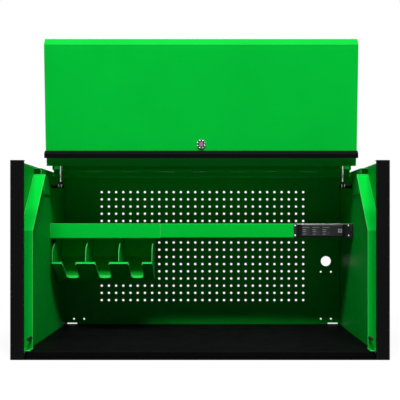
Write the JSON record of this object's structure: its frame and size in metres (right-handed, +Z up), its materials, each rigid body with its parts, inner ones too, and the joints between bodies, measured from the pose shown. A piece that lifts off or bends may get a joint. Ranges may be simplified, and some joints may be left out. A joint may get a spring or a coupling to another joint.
{
  "type": "workstation hutch",
  "caption": "Steel bench-top workstation hutch with a folding gas-sprung lid, perforated back panel, shelf, power strip and tool holder.",
  "frame": {"origin": "centre of the footprint, on the plane that the base stands on", "axes": "+X to the right along the front, +Y to the rear, +Z up; the lid is stored open"},
  "size_m": [1.041, 0.635, 0.9449],
  "materials": {
    "black_paint": "satin black powder coat",
    "green_paint": "gloss green powder coat",
    "zinc_steel": "zinc plated",
    "chrome": "polished chrome",
    "lock_face": "satin nickel",
    "black_pull": "semi-gloss black",
    "strut_black": "satin black",
    "strip_plastic": "fine grain",
    "white_plastic": "smooth",
    "bumper_rubber": "matt"
  },
  "bodies": {
    "cabinet": {"left_side_shell": "black_paint", "right_side_shell": "black_paint", "base_pan": "black_paint", "deck_channels": "black_paint", "worktop": "black_paint", "left_cheek_panel": "green_paint", "right_cheek_panel": "green_paint", "left_side_liner": "green_paint", "right_side_liner": "green_paint", "left_stop_rail": "green_paint", "right_stop_rail": "green_paint", "back_panel": "green_paint", "rear_top_panel": "green_paint", "shelf": "green_paint", "holder_face": "green_paint", "holder_tray": "green_paint", "holder_dividers": "green_paint", "left_strut_bracket": "green_paint", "right_strut_bracket": "green_paint", "rear_hinge_fixed_leaf": "green_paint", "rear_hinge_pin": "zinc_steel", "left_strut_wall_stud": "zinc_steel", "right_strut_wall_stud": "zinc_steel", "strip_screws": "zinc_steel", "strip_housing": "strip_plastic", "strip_outlets": "strip_plastic", "strip_usb_plate": "white_plastic", "stop_bumpers": "bumper_rubber"},
    "rear_leaf": {"rear_leaf_skin": "green_paint", "rear_leaf_liner": "green_paint", "rear_hinge_moving_leaf": "green_paint", "fold_hinge_upper_leaf": "green_paint", "fold_hinge_pin": "zinc_steel", "left_strut_lid_stud": "zinc_steel", "right_strut_lid_stud": "zinc_steel"},
    "front_leaf": {"front_leaf_skin": "green_paint", "front_leaf_liner": "green_paint", "fold_hinge_lower_leaf": "green_paint", "pull_handle": "black_pull", "lock_body": "zinc_steel", "lock_ring": "chrome", "lock_nut": "zinc_steel"},
    "lock_plug": {"lock_barrel": "lock_face", "lock_cam": "zinc_steel"},
    "left_rod": {"left_strut_rod": "chrome"},
    "right_rod": {"right_strut_rod": "chrome"},
    "left_cylinder": {"left_strut_cylinder": "strut_black"},
    "right_cylinder": {"right_strut_cylinder": "strut_black"}
  },
  "joints": [
    {"name": "lid_hinge", "type": "hinge", "parent": "cabinet", "child": "rear_leaf", "pos_m": [0, 0.0855, 0.5457], "axis": [1, 0, 0], "range_deg": [0, 98]},
    {"name": "front_fold", "type": "hinge", "parent": "rear_leaf", "child": "front_leaf", "pos_m": [0, -0.02719, 0.93278], "axis": [1, 0, 0], "range_deg": [-102.9, 0]},
    {"name": "lock_turn", "type": "hinge", "parent": "front_leaf", "child": "lock_plug", "pos_m": [0, -0.03493, 0.62075], "axis": [0, 0.9963, 0.0854], "range_deg": [0, 90]},
    {"name": "left_strut_swing", "type": "hinge", "parent": "cabinet", "child": "left_rod", "pos_m": [-0.4525, 0.0455, 0.494], "axis": [1, 0, 0], "range_deg": [0, 89.12]},
    {"name": "left_strut_slide", "type": "slide", "parent": "left_rod", "child": "left_cylinder", "axis": [0, 0.2009, 0.9796], "range_m": [-0.09341, 0]},
    {"name": "right_strut_swing", "type": "hinge", "parent": "cabinet", "child": "right_rod", "pos_m": [0.4525, 0.0455, 0.494], "axis": [1, 0, 0], "range_deg": [0, 89.12]},
    {"name": "right_strut_slide", "type": "slide", "parent": "right_rod", "child": "right_cylinder", "axis": [0, 0.2009, 0.9796], "range_m": [-0.09341, 0]}
  ],
  "couplings": [
    {"joint": "front_fold", "follows": "lid_hinge", "ratio": -1.05},
    {"joint": "left_strut_swing", "follows": "lid_hinge", "ratio": 0.90934},
    {"joint": "left_strut_slide", "follows": "lid_hinge", "m_per_rad": -0.054606},
    {"joint": "right_strut_swing", "follows": "lid_hinge", "ratio": 0.90934},
    {"joint": "right_strut_slide", "follows": "lid_hinge", "m_per_rad": -0.054606}
  ]
}
